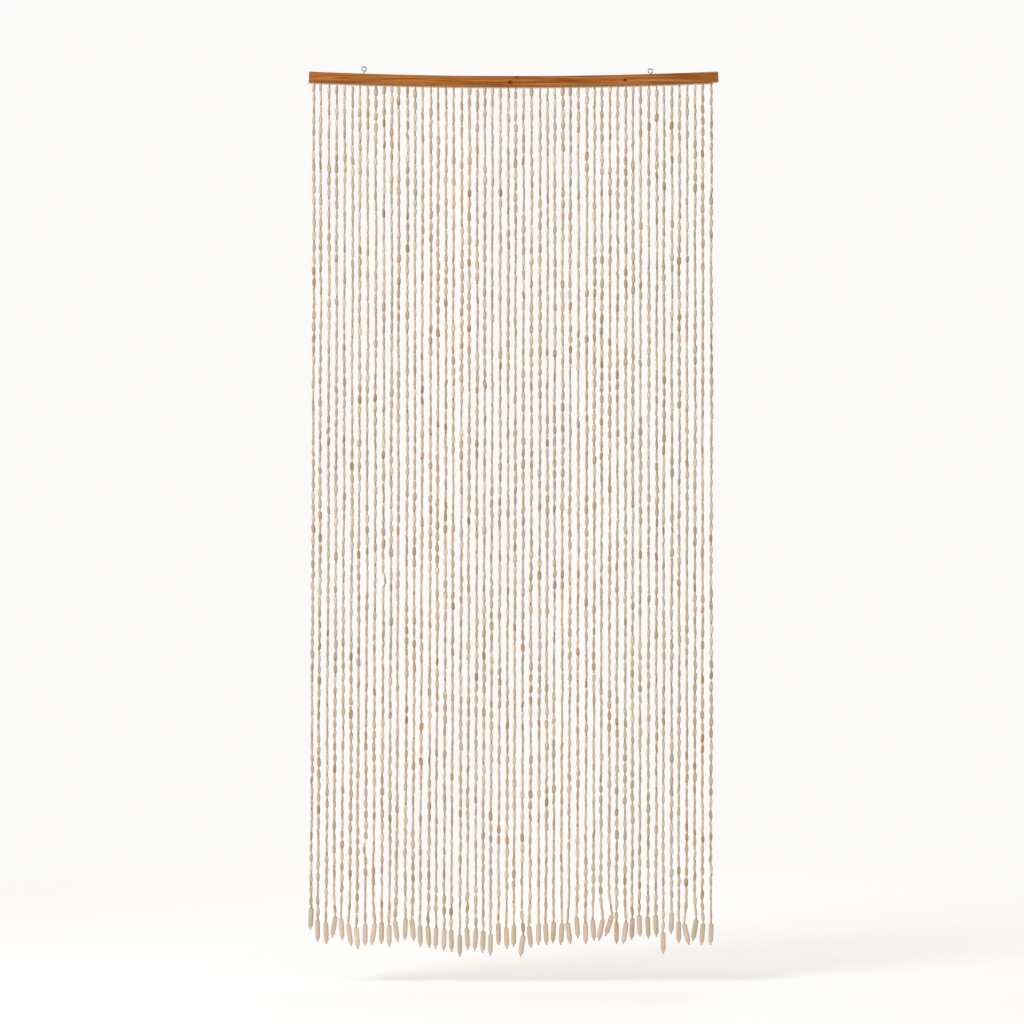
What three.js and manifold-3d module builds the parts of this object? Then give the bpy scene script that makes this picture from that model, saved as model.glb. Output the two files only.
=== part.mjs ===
// Wooden bead curtain on a bowed hanging rail. Two screw eyes stand in the rail's top edge, a header cord runs
// along its underside, bead strands are tied to that cord, and each strand carries a long pendant bead on a knot.
// Millimetres, +Z up, +X to the right seen from the front. The front faces -Y and the rail's back is the plane Y = 0.
import * as THREE from "three";
import { mergeVertices } from "three/addons/utils/BufferGeometryUtils.js";
import Module from "manifold-3d";

const wasm = await Module();
wasm.setup();

// Gap between two pieces that meet
const CLEARANCE = 0.3;

// Rail: a lath bowed in its own plane, its middle lower than its ends
const RAIL_LENGTH = 900;
const RAIL_HEIGHT = 23;
const RAIL_DEPTH = 12;
const RAIL_SAG = 10;
const RAIL_EASED_EDGE = 1;
const RAIL_ARC_SEGMENTS = 12;
const BOW_RADIUS = (RAIL_LENGTH ** 2 / 4 + RAIL_SAG ** 2) / (2 * RAIL_SAG);
const MID_DEPTH = -RAIL_DEPTH / 2;

// Screw eyes: where each stands along the rail, and how high its ring's centre is above the rail's top edge
const EYES = [
  { name: "eye_left", along: -329, rise: 10.6 },
  { name: "eye_right", along: 301, rise: 6.9 },
];
const EYE_RING_RADIUS = 4.95;
const EYE_WIRE_RADIUS = 1.3;
const EYE_SHANK_RADIUS = 1.1;
const EYE_GRIP = 14;
const PILOT_RADIUS = 1.5;
const PILOT_DEPTH = EYE_GRIP + 1;

// Header cord: its cut tail reaches past the rail's left end
const HEADER_THICKNESS = 2.2;
const HEADER_LEFT = -453;
const HEADER_RIGHT = 438;
const HEADER_STEPS = 26;
const HEADER_GAP = 0.4;

// Strands
const STRAND_FIRST = -440;
const STRAND_LAST = 434;
const STRAND_SPACING_WOBBLE = 1.3;
const STRAND_WIDTH = 7;
const STRAND_STEPS = 4;
const CORD_THICKNESS = 1.8;
const ROOT_LENGTH = 3;
const ROOT_TAPER = 2;
const DRIFT_LEFT = -7;
const DRIFT_RIGHT = -1;
const KICK_LENGTH = 50;
const KICK_STEPS = 2;

// Pendant beads and the knots that carry them
const PENDANT_LENGTH = 42;
const PENDANT_RADIUS = 5.3;
const PENDANT_SHOULDER_RADIUS = 4.5;
const PENDANT_SHOULDER = 1.2;
const PENDANT_NOSE_RADIUS = 2.6;
const PENDANT_NOSE = 6;
const PENDANT_BORE_RADIUS = 1.9;
const PENDANT_SIDES = 8;
const KNOT_GAP = 0.5;
const KNOT_RADIUS = 2.4;
const KNOT_LENGTH = 4.5;

// Hem, a row for each strand from left to right: how far its knot hangs past HEM_DROP below the rail's middle,
// and how many degrees its pendant leans, with its tip to the right where that is positive
const HEM_DROP = 1895;
const HEM = [
  { extra: -30, lean: -3 },
  { extra: -3, lean: 0 },
  { extra: 2, lean: 2 },
  { extra: -12, lean: -9 },
  { extra: -7, lean: 4 },
  { extra: 6, lean: 8 },
  { extra: 13, lean: 5 },
  { extra: 6, lean: 0 },
  { extra: 4, lean: -8 },
  { extra: 2, lean: -1 },
  { extra: 8, lean: 0 },
  { extra: -3, lean: 8 },
  { extra: -7, lean: -2 },
  { extra: -5, lean: 6 },
  { extra: 8, lean: 2 },
  { extra: 10, lean: 4 },
  { extra: 13, lean: -2 },
  { extra: 17, lean: -2 },
  { extra: 19, lean: 2 },
  { extra: 30, lean: 0 },
  { extra: 15, lean: 3 },
  { extra: 17, lean: -4 },
  { extra: 21, lean: -2 },
  { extra: 28, lean: -1 },
  { extra: 4, lean: 1 },
  { extra: 13, lean: 2 },
  { extra: 8, lean: -1 },
  { extra: 30, lean: -8 },
  { extra: 10, lean: 6 },
  { extra: 4, lean: -1 },
  { extra: 4, lean: 3 },
  { extra: 0, lean: -3 },
  { extra: 4, lean: -4 },
  { extra: 2, lean: 8 },
  { extra: -10, lean: 4 },
  { extra: 2, lean: 1 },
  { extra: -5, lean: 4 },
  { extra: -5, lean: -11 },
  { extra: -16, lean: -17 },
  { extra: 2, lean: 0 },
  { extra: 2, lean: -8 },
  { extra: -7, lean: -2 },
  { extra: -14, lean: 2 },
  { extra: -10, lean: 2 },
  { extra: -14, lean: 2 },
  { extra: 24, lean: 0 },
  { extra: -20, lean: -2 },
  { extra: 0, lean: 0 },
  { extra: 4, lean: 13 },
  { extra: -5, lean: -9 },
  { extra: 4, lean: -5 },
  { extra: 4, lean: -2 },
];

const stainedPine = new THREE.MeshStandardMaterial({ color: 0xa46638, roughness: 0.45, metalness: 0 });
const nickelSteel = new THREE.MeshStandardMaterial({ color: 0xb9b8b3, roughness: 0.3, metalness: 1 });
const paleWood = new THREE.MeshStandardMaterial({ color: 0xc3ac96, roughness: 0.6, metalness: 0 });
const pendantWood = new THREE.MeshStandardMaterial({ color: 0xcab29c, roughness: 0.6, metalness: 0 });

// Height of the bowed rail's middle line at x, above its lowest point
const bowLift = (x) => BOW_RADIUS - Math.sqrt(BOW_RADIUS ** 2 - x ** 2);
const railTop = (x) => bowLift(x) + RAIL_HEIGHT / 2;
const headerHeight = (x) => bowLift(x) - RAIL_HEIGHT / 2 - HEADER_GAP - HEADER_THICKNESS / 2;

// Uneven but repeatable number from -1 to 1 for a strand
function wobble(index) {
  const turn = Math.sin((index + 1) * 12.9898) * 43758.5453;
  return 2 * (turn - Math.floor(turn)) - 1;
}

// Closed three.js geometry as a manifold solid
function solidOf(geometry) {
  const bare = geometry.index ? geometry.toNonIndexed() : geometry.clone();
  bare.deleteAttribute("normal");
  bare.deleteAttribute("uv");
  const merged = mergeVertices(bare, 1e-4);
  return new wasm.Manifold(
    new wasm.Mesh({
      numProp: 3,
      vertProperties: merged.attributes.position.array,
      triVerts: new Uint32Array(merged.index.array),
    }),
  );
}

// Manifold solid back to a three.js geometry
function geometryOf(solid) {
  const mesh = solid.getMesh();
  const geometry = new THREE.BufferGeometry();
  geometry.setAttribute("position", new THREE.BufferAttribute(mesh.vertProperties, 3));
  geometry.setIndex(new THREE.BufferAttribute(mesh.triVerts, 1));
  geometry.computeVertexNormals();
  return geometry;
}

function named(name, geometry, material) {
  const mesh = new THREE.Mesh(geometry, material);
  mesh.name = name;
  return mesh;
}

// Lath between two concentric arcs, with a pilot hole for each screw eye
function railGeometry() {
  const halfAngle = Math.asin(RAIL_LENGTH / 2 / BOW_RADIUS);
  const left = -Math.PI / 2 - halfAngle;
  const right = -Math.PI / 2 + halfAngle;
  const outline = new THREE.Shape();
  outline.absarc(0, BOW_RADIUS, BOW_RADIUS + RAIL_HEIGHT / 2, left, right, false);
  outline.absarc(0, BOW_RADIUS, BOW_RADIUS - RAIL_HEIGHT / 2, right, left, true);
  const lath = new THREE.ExtrudeGeometry(outline, {
    depth: RAIL_DEPTH - 2 * RAIL_EASED_EDGE,
    curveSegments: RAIL_ARC_SEGMENTS,
    bevelThickness: RAIL_EASED_EDGE,
    bevelSize: RAIL_EASED_EDGE,
    bevelOffset: -RAIL_EASED_EDGE,
    bevelSegments: 1,
  });
  lath.translate(0, 0, RAIL_EASED_EDGE).rotateX(Math.PI / 2);
  let solid = solidOf(lath);
  for (const eye of EYES) {
    const pilot = new THREE.CylinderGeometry(PILOT_RADIUS, PILOT_RADIUS, 2 * PILOT_DEPTH, 12);
    pilot.rotateX(Math.PI / 2).translate(eye.along, MID_DEPTH, railTop(eye.along));
    solid = solid.subtract(solidOf(pilot));
  }
  return geometryOf(solid);
}

// Wire ring facing the front on a shank that reaches down into the rail, about the ring's centre
function eyeGeometry(rise) {
  const ring = new THREE.TorusGeometry(EYE_RING_RADIUS, EYE_WIRE_RADIUS, 10, 20);
  ring.rotateX(Math.PI / 2);
  const shankLength = rise - EYE_RING_RADIUS + EYE_GRIP;
  const shank = new THREE.CylinderGeometry(EYE_SHANK_RADIUS, EYE_SHANK_RADIUS, shankLength, 10);
  shank.rotateX(Math.PI / 2).translate(0, 0, -EYE_RING_RADIUS - shankLength / 2);
  return geometryOf(solidOf(ring).add(solidOf(shank)));
}

// Square cord along the rail's underside, following its bow
function headerGeometry() {
  const points = [];
  for (let step = 0; step <= HEADER_STEPS; step++) {
    const x = THREE.MathUtils.lerp(HEADER_LEFT, HEADER_RIGHT, step / HEADER_STEPS);
    points.push(new THREE.Vector3(x, MID_DEPTH, headerHeight(x)));
  }
  const half = HEADER_THICKNESS / 2;
  const section = new THREE.Shape();
  section.moveTo(-half, -half).lineTo(half, -half).lineTo(half, half).lineTo(-half, half).closePath();
  return new THREE.ExtrudeGeometry(section, {
    steps: HEADER_STEPS,
    extrudePath: new THREE.CatmullRomCurve3(points),
  });
}

// Where a strand starts, how it hangs, and where its pendant sits. A leaning pendant hangs with its middle under
// the strand, so the strand's foot is kicked the other way.
function layStrand(row, index) {
  const share = index / (HEM.length - 1);
  const wobbled = STRAND_SPACING_WOBBLE * wobble(index);
  const rootX = THREE.MathUtils.lerp(STRAND_FIRST, STRAND_LAST, share) + wobbled;
  const rootZ = headerHeight(rootX);
  const lean = THREE.MathUtils.degToRad(row.lean);
  const seatGap = CLEARANCE + PENDANT_SHOULDER_RADIUS * Math.abs(Math.sin(lean));
  const tail = seatGap + PENDANT_LENGTH + KNOT_GAP + KNOT_LENGTH;
  const drop = rootZ + HEM_DROP + row.extra - tail * Math.cos(lean);
  const drift = THREE.MathUtils.lerp(DRIFT_LEFT, DRIFT_RIGHT, share);
  const kick = (-Math.sin(lean) * tail) / 2;
  return { rootX, rootZ, lean, seatGap, tail, drop, drift, kick };
}

// Point on a strand's centre line, measured down from its root: a slow drift, the kick at its foot, then straight
// along its pendant
function strandPoint(strand, down) {
  const along = Math.min(down, strand.drop);
  const past = down - along;
  const drifted = strand.drift * (along / strand.drop) ** 2;
  const kicked = strand.kick * Math.max(0, 1 - (strand.drop - along) / KICK_LENGTH);
  return new THREE.Vector3(
    strand.rootX + drifted + kicked + past * Math.sin(strand.lean),
    MID_DEPTH,
    strand.rootZ - along - past * Math.cos(strand.lean),
  );
}

// Four-sided strand from its root in the header cord, down its beads, through its pendant and round its knot
function strandGeometry(strand) {
  const knotTop = strand.drop + strand.tail - KNOT_LENGTH;
  const bead = STRAND_WIDTH / Math.SQRT2;
  const cord = CORD_THICKNESS / Math.SQRT2;
  const beadTop = ROOT_LENGTH + ROOT_TAPER;
  const kickTop = strand.drop - KICK_LENGTH;
  const profile = [new THREE.Vector2(0, 0), new THREE.Vector2(cord, 0), new THREE.Vector2(cord, ROOT_LENGTH)];
  for (let step = 0; step <= STRAND_STEPS; step++) {
    profile.push(new THREE.Vector2(bead, THREE.MathUtils.lerp(beadTop, kickTop, step / STRAND_STEPS)));
  }
  for (let step = 1; step <= KICK_STEPS; step++) {
    profile.push(new THREE.Vector2(bead, THREE.MathUtils.lerp(kickTop, strand.drop, step / KICK_STEPS)));
  }
  profile.push(
    new THREE.Vector2(cord, strand.drop),
    new THREE.Vector2(cord, knotTop),
    new THREE.Vector2(KNOT_RADIUS, knotTop + KNOT_LENGTH * 0.35),
    new THREE.Vector2(KNOT_RADIUS, knotTop + KNOT_LENGTH * 0.65),
    new THREE.Vector2(cord, knotTop + KNOT_LENGTH),
    new THREE.Vector2(0, knotTop + KNOT_LENGTH),
  );
  const geometry = new THREE.LatheGeometry(profile, 4, Math.PI / 4);
  const position = geometry.attributes.position;
  for (let i = 0; i < position.count; i++) {
    const centre = strandPoint(strand, position.getY(i));
    position.setXYZ(i, centre.x + position.getX(i), centre.y + position.getZ(i), centre.z);
  }
  return geometry;
}

// Header cord with every strand fused to it by its root
function strandsGeometry(strands) {
  const roots = strands.map((strand) => solidOf(strandGeometry(strand)));
  return geometryOf(roots.reduce((whole, strand) => whole.add(strand), solidOf(headerGeometry())));
}

// Long bored bead with eased shoulders and a tapered nose, hanging down from its top face
function pendantGeometry() {
  const nose = PENDANT_NOSE - PENDANT_LENGTH;
  const profile = [
    new THREE.Vector2(PENDANT_BORE_RADIUS, -PENDANT_LENGTH),
    new THREE.Vector2(PENDANT_NOSE_RADIUS, -PENDANT_LENGTH),
    new THREE.Vector2(PENDANT_RADIUS, nose),
    new THREE.Vector2(PENDANT_RADIUS, -PENDANT_SHOULDER),
    new THREE.Vector2(PENDANT_SHOULDER_RADIUS, 0),
    new THREE.Vector2(PENDANT_BORE_RADIUS, 0),
    new THREE.Vector2(PENDANT_BORE_RADIUS, -PENDANT_LENGTH),
  ];
  return new THREE.LatheGeometry(profile, PENDANT_SIDES).rotateX(Math.PI / 2);
}

const curtain = new THREE.Group();
curtain.add(named("rail", railGeometry(), stainedPine));

for (const eye of EYES) {
  const mesh = named(eye.name, eyeGeometry(eye.rise), nickelSteel);
  mesh.position.set(eye.along, MID_DEPTH, railTop(eye.along) + eye.rise);
  curtain.add(mesh);
}

const strands = HEM.map(layStrand);
curtain.add(named("strands", strandsGeometry(strands), paleWood));

strands.forEach((strand, index) => {
  const pendant = named(`pendant_${String(index + 1).padStart(2, "0")}`, pendantGeometry(), pendantWood);
  pendant.position.copy(strandPoint(strand, strand.drop + strand.seatGap));
  pendant.rotation.y = -strand.lean;
  curtain.add(pendant);
});

export default curtain;
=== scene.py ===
"""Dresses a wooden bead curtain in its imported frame.

A bowed pine rail hangs on two screw eyes and a header cord is sewn under it. Each strand carries flat oval
beads and small spacers, and ends in a turned pendant.
"""

import logging
import math
from dataclasses import dataclass, field
from enum import Enum
from typing import Any, Callable, Sequence

import bmesh
import bpy
import numpy as np
from mathutils import Matrix, Vector


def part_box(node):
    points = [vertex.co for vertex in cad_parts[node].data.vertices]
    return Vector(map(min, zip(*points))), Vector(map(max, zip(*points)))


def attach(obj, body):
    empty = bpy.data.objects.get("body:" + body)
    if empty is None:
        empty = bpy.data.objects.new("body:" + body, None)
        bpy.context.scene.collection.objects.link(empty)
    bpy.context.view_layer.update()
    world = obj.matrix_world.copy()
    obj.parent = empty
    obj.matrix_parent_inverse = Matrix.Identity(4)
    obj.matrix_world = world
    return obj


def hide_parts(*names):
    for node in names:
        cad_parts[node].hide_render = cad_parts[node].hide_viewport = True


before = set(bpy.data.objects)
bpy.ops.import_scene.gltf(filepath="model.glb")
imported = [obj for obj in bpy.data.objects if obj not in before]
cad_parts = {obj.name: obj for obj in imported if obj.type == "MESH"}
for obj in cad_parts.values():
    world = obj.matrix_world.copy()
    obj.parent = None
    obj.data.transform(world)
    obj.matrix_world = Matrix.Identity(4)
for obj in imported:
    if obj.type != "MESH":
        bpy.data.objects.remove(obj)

LOG = logging.getLogger("bead_curtain")
MM = 0.001
BODY = "root"

# Points closer than this lie at one place
TOUCH = 0.02 * MM
# A face whose normal is this upright is a bead's end face, and stays flat
END_FACE = 0.95
# Edges sharper than this many degrees stay sharp: on beads and bent wire, and on screws and flat pieces
SMOOTH_ANGLE = 40.0
SHARP_ANGLE = 30.0

# Seeds of the strands and the pendants
SEED = 5207
PENDANT_SEED = 2 * SEED
# How many spreads a random size may stray, and how far a bead's grain is shifted at most
PLAY_LIMIT = 2.0
GRAIN_SHIFT = 4.0

# Attributes that the beads carry and their finishes read
GRAIN = "grain_place"
MARK = "bead_mark"

# Noise values that streaks and pores of wood fade between, and how much finer the pores are
STREAK_RANGE = (0.3, 0.7)
PORE_RANGE = (0.56, 0.7)
PORE_FINENESS = 3.7
# Where a knot's colour fades out, and how far it still bends the grain, in knot sizes from its middle
KNOT_RIM = (0.55, 1.1)
KNOT_PULL = 3.4

Colour = tuple[float, float, float, float]
Source = Any


class Part(Enum):
    """The kinds of mesh element that a selection on the bench can take."""

    POINTS = "verts"
    FACES = "faces"

    @property
    def mode(self) -> str:
        """Returns Blender's name for selecting this kind."""
        return self.value[:-1].upper()


class BeadKind(Enum):
    """The two beads that alternate on a strand."""

    OVAL = "oval"
    SPACER = "spacer"


class Side(Enum):
    """The two ends of the rail that carry a screw eye."""

    LEFT = "eye_left"
    RIGHT = "eye_right"


def screen(red: int, green: int, blue: int) -> Colour:
    """Turns a screen colour into linear light.

    Args:
        red: red level, 0 to 255.
        green: green level, 0 to 255.
        blue: blue level, 0 to 255.

    Returns:
        The linear colour with full alpha.
    """
    shares = (level / 255 for level in (red, green, blue))
    linear = (s / 12.92 if s <= 0.04045 else ((s + 0.055) / 1.055) ** 2.4 for s in shares)
    return (*linear, 1.0)


def deselect() -> None:
    """Leaves nothing selected, so that an operator acts only on what comes next."""
    bpy.ops.object.select_all(action="DESELECT")


def choose(piece: bpy.types.Object) -> None:
    """Makes one object the only selected and active one."""
    deselect()
    piece.select_set(True)
    bpy.context.view_layer.objects.active = piece


def apply_modifier(piece: bpy.types.Object, kind: str, **settings: Any) -> None:
    """Adds a modifier and applies it at once.

    Args:
        piece: the object that is modified.
        kind: Blender's name for the modifier.
        settings: the modifier's values.
    """
    choose(piece)
    modifier = piece.modifiers.new(kind.lower(), kind)
    for name, value in settings.items():
        setattr(modifier, name, value)
    bpy.ops.object.modifier_apply(modifier=modifier.name)


def discard(piece: bpy.types.Object) -> None:
    """Removes a helper object with its mesh."""
    bpy.data.meshes.remove(piece.data)


def finish_piece(piece: bpy.types.Object, slot: str | None, *nodes: str) -> None:
    """Puts a finished piece on the body and reports it.

    Args:
        piece: the finished object, with its place in its mesh.
        slot: the name of a material slot, or None; not used.
        nodes: the CAD nodes that the piece stands for.
    """
    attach(piece, BODY)
    if nodes:
        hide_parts(*nodes)
    LOG.info("%s: %d faces", piece.name, len(piece.data.polygons))


class Bench:
    """Edit-mode work on one mesh: a primitive is added, and its parts are picked by place and shaped."""

    merge = TOUCH / 10

    def __init__(self, add: Callable[..., set[str]], name: str, **sizes: Any) -> None:
        """Adds a primitive and opens it for editing.

        Args:
            add: the operator that adds the primitive.
            name: the new object's name.
            sizes: the operator's sizes and place.
        """
        deselect()
        add(**sizes)
        self.piece = bpy.context.object
        self.piece.name = name
        bpy.ops.object.transform_apply()
        bpy.ops.object.mode_set(mode="EDIT")

    def pick(self, part: Part, test: Callable[[Vector], bool]) -> None:
        """Selects only the elements whose middle passes a test.

        Args:
            part: the kind of element.
            test: takes an element's middle and says whether it is picked.
        """
        bpy.ops.mesh.select_mode(type=part.mode)
        bpy.ops.mesh.select_all(action="DESELECT")
        mesh = bmesh.from_edit_mesh(self.piece.data)
        for element in getattr(mesh, part.value):
            points = [element] if part is Part.POINTS else element.verts
            middle = sum((point.co for point in points), Vector()) / len(points)
            element.select_set(bool(test(middle)))
        mesh.select_flush_mode()
        bmesh.update_edit_mesh(self.piece.data)

    def cut(self, places: Sequence[float], axis: Sequence[float]) -> None:
        """Cuts the whole mesh across an axis.

        Args:
            places: distances from the origin along the axis.
            axis: the direction that the cuts stand across.
        """
        for place in places:
            bpy.ops.mesh.select_all(action="SELECT")
            bpy.ops.mesh.bisect(plane_co=tuple(place * a for a in axis), plane_no=tuple(axis))

    def scale_ring(self, height: float, across: float, deep: float) -> None:
        """Resizes the ring of points at a height about the upright axis, along X and along Y."""
        self.pick(Part.POINTS, lambda middle: abs(middle.z - height) < TOUCH)
        bpy.ops.transform.resize(value=(across, deep, 1), center_override=(0, 0, height))

    def sink(self, height: float, rim: float, depth: float) -> None:
        """Bores into the cap at a height: insets it and pushes the inner face in.

        Args:
            height: the cap's height.
            rim: width of the rim that is left.
            depth: how far the bore goes, along Z and with its sign.
        """
        self.pick(Part.FACES, lambda middle: abs(middle.z - height) < TOUCH)
        bpy.ops.mesh.inset(thickness=rim)
        bpy.ops.mesh.extrude_region_move(TRANSFORM_OT_translate={"value": (0, 0, depth)})

    def done(self, smooth_angle: float) -> bpy.types.Object:
        """Closes the edit with doubles merged, normals out and shading by angle.

        Args:
            smooth_angle: edges sharper than this stay sharp, in degrees.

        Returns:
            The finished object.
        """
        bpy.ops.mesh.select_all(action="SELECT")
        bpy.ops.mesh.remove_doubles(threshold=self.merge)
        bpy.ops.mesh.normals_make_consistent(inside=False)
        bpy.ops.object.mode_set(mode="OBJECT")
        choose(self.piece)
        bpy.ops.object.shade_smooth_by_angle(angle=math.radians(smooth_angle))
        return self.piece


@dataclass
class Pattern:
    """A small closed mesh held as arrays, modelled once and copied many times."""

    points: np.ndarray
    corners: np.ndarray
    starts: np.ndarray
    smooth: np.ndarray

    @classmethod
    def take(cls, piece: bpy.types.Object) -> "Pattern":
        """Reads a modelled object and removes it; its end faces stay flat.

        Args:
            piece: the modelled object, standing along Z.

        Returns:
            Its mesh as a pattern.
        """
        mesh = piece.data
        points = np.empty(len(mesh.vertices) * 3, np.float32)
        corners = np.empty(len(mesh.loops), np.int32)
        starts = np.empty(len(mesh.polygons), np.int32)
        normals = np.empty(len(mesh.polygons) * 3, np.float32)
        mesh.vertices.foreach_get("co", points)
        mesh.loops.foreach_get("vertex_index", corners)
        mesh.polygons.foreach_get("loop_start", starts)
        mesh.polygons.foreach_get("normal", normals)
        discard(piece)
        return cls(points.reshape(-1, 3), corners, starts, np.abs(normals[2::3]) < END_FACE)

    @classmethod
    def tube(
        cls, line: np.ndarray, radius: float, sides: int, closed: bool = False
    ) -> tuple["Pattern", np.ndarray]:
        """Sweeps a round section along a line that never runs along Y.

        Args:
            line: the points of the middle line.
            radius: the section's radius.
            sides: how many sides the section has.
            closed: whether the line's end meets its start.

        Returns:
            The tube, and for each point its turn round the section and its run along the line.
        """
        count = len(line)
        ahead = np.roll(line, -1, 0) - np.roll(line, 1, 0)
        if not closed:
            ahead[0], ahead[-1] = line[1] - line[0], line[-1] - line[-2]
        ahead /= np.linalg.norm(ahead, axis=1)[:, None]
        first = np.cross((0, 1, 0), ahead)
        first /= np.linalg.norm(first, axis=1)[:, None]
        second = np.cross(ahead, first)
        turn = np.arange(sides) / sides
        angle = 2 * math.pi * turn
        section = first[:, None] * np.cos(angle)[:, None] + second[:, None] * np.sin(angle)[:, None]
        points = line[:, None] + radius * section
        steps = np.linalg.norm(np.diff(line, axis=0), axis=1)
        run = np.concatenate([[0], np.cumsum(steps)])
        grain = np.zeros((count, sides, 3), np.float32)
        grain[..., 0], grain[..., 2] = turn, run[:, None]
        ring = np.arange(count if closed else count - 1)[:, None]
        here, there = ring * sides, (ring + 1) % count * sides
        side, beside = np.arange(sides), (np.arange(sides) + 1) % sides
        quads = np.stack([here + side, here + beside, there + beside, there + side], -1).reshape(-1)
        starts = np.arange(0, len(quads), 4)
        smooth = np.ones(len(starts), bool)
        if not closed:
            caps = np.concatenate([side[::-1], (count - 1) * sides + side])
            starts = np.concatenate([starts, len(quads) + np.array([0, sides])])
            quads = np.concatenate([quads, caps])
            smooth = np.concatenate([smooth, [False, False]])
        return cls(points.reshape(-1, 3), quads, starts, smooth), grain.reshape(-1, 3)


class Heap:
    """Copies of patterns, gathered as arrays and joined into one mesh."""

    def __init__(self) -> None:
        """Starts an empty heap."""
        self.points: list[np.ndarray] = []
        self.grain: list[np.ndarray] = []
        self.mark: list[np.ndarray] = []
        self.corners: list[np.ndarray] = []
        self.starts: list[np.ndarray] = []
        self.smooth: list[np.ndarray] = []
        self.slots: list[np.ndarray] = []
        self.point_count = 0
        self.corner_count = 0

    def add(
        self, pattern: Pattern, places: np.ndarray, grain: np.ndarray, mark: np.ndarray, slot: int
    ) -> None:
        """Adds copies of a pattern.

        Args:
            pattern: the shape that is copied.
            places: the points of each copy, as copies by points by 3.
            grain: the grain's place at each point, shaped like places.
            mark: tone, shade and nearness to an end at each point, shaped like places.
            slot: index of the finish that the copies wear.
        """
        copies, size = places.shape[:2]
        turn = np.arange(copies)[:, None]
        self.corners.append((pattern.corners + turn * size + self.point_count).ravel())
        self.starts.append((pattern.starts + turn * len(pattern.corners) + self.corner_count).ravel())
        self.smooth.append(np.tile(pattern.smooth, copies))
        self.slots.append(np.full(copies * len(pattern.starts), slot, np.int32))
        for held, given in ((self.points, places), (self.grain, grain), (self.mark, mark)):
            held.append(np.broadcast_to(given, places.shape).reshape(-1, 3))
        self.point_count += copies * size
        self.corner_count += copies * len(pattern.corners)

    def piece(self, name: str, finishes: Sequence[bpy.types.Material]) -> bpy.types.Object:
        """Joins all copies into one object.

        Args:
            name: the object's name.
            finishes: the materials, in the order of the slots given to add.

        Returns:
            The new object, at the origin.
        """
        mesh = bpy.data.meshes.new(name)
        points, corners = np.concatenate(self.points), np.concatenate(self.corners)
        starts = np.concatenate(self.starts)
        mesh.vertices.add(len(points))
        mesh.vertices.foreach_set("co", points.astype(np.float32).ravel())
        mesh.loops.add(len(corners))
        mesh.loops.foreach_set("vertex_index", corners.astype(np.int32))
        mesh.polygons.add(len(starts))
        mesh.polygons.foreach_set("loop_start", starts.astype(np.int32))
        mesh.polygons.foreach_set("material_index", np.concatenate(self.slots))
        mesh.polygons.foreach_set("use_smooth", np.concatenate(self.smooth))
        write_attribute(mesh, GRAIN, np.concatenate(self.grain))
        write_attribute(mesh, MARK, np.concatenate(self.mark))
        for finish in finishes:
            mesh.materials.append(finish)
        mesh.update(calc_edges=True)
        piece = bpy.data.objects.new(name, mesh)
        bpy.context.scene.collection.objects.link(piece)
        return piece


def write_attribute(mesh: bpy.types.Mesh, name: str, values: np.ndarray) -> None:
    """Stores a vector for each point of a mesh, under a name that the finishes read."""
    attribute = mesh.attributes.get(name) or mesh.attributes.new(name, "FLOAT_VECTOR", "POINT")
    attribute.data.foreach_set("vector", np.ascontiguousarray(values, np.float32).ravel())


def mesh_points(mesh: bpy.types.Mesh) -> np.ndarray:
    """Returns the points of a mesh as rows of x, y and z."""
    points = np.empty(len(mesh.vertices) * 3, np.float32)
    mesh.vertices.foreach_get("co", points)
    return points.reshape(-1, 3)


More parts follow.
